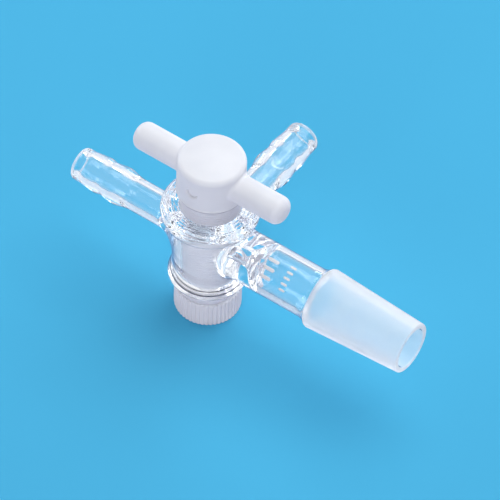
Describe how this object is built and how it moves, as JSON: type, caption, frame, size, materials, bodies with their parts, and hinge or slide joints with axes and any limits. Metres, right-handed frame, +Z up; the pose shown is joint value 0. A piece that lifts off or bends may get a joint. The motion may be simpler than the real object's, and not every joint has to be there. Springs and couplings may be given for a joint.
{
  "type": "three-way glass stopcock",
  "caption": "Glass stopcock with a turning white plug and T handle, hose arms at left and behind, a ground taper joint at right and a ribbed nut below.",
  "frame": {"origin": "centre of the nut's flat underside, on the plug's axis, which is where the part stands", "axes": "+Z up along the plug's axis to the handle, +X to the ground joint, +Y to the side hose arm; the other hose arm points to -X"},
  "size_m": [0.0935, 0.0497, 0.0509],
  "materials": {
    "clear_glass": "clear blown borosilicate glass, with a frosted, ground outside on the taper joint",
    "plug_plastic": "white fluoropolymer, turned, slightly waxy",
    "handle_plastic": "white moulded plastic, smooth and satin",
    "ring_rubber": "translucent grey silicone",
    "nut_plastic": "white fluoropolymer with moulded ribs"
  },
  "bodies": {
    "glass": {"glass_body": "clear_glass"},
    "plug": {"plug": "plug_plastic", "handle": "handle_plastic", "handle_pin": "handle_plastic"},
    "washers": {"o_ring": "ring_rubber", "washer": "plug_plastic"},
    "nut": {"nut": "nut_plastic"}
  },
  "joints": [
    {"name": "plug_turn", "type": "hinge", "parent": "glass", "child": "plug", "pos_m": [0, 0, 0.0232], "axis": [0, 0, 1], "continuous": true},
    {"name": "washer_slide", "type": "slide", "parent": "plug", "child": "washers", "axis": [0, 0, -1], "range_m": [0, 0.006]},
    {"name": "nut_turn", "type": "hinge", "parent": "washers", "child": "nut", "pos_m": [0, 0, 0], "axis": [0, 0, -1], "range_deg": [0, 1440]}
  ],
  "couplings": [
    {"joint": "nut_turn", "follows": "washer_slide", "rad_per_m": 4188.8}
  ]
}
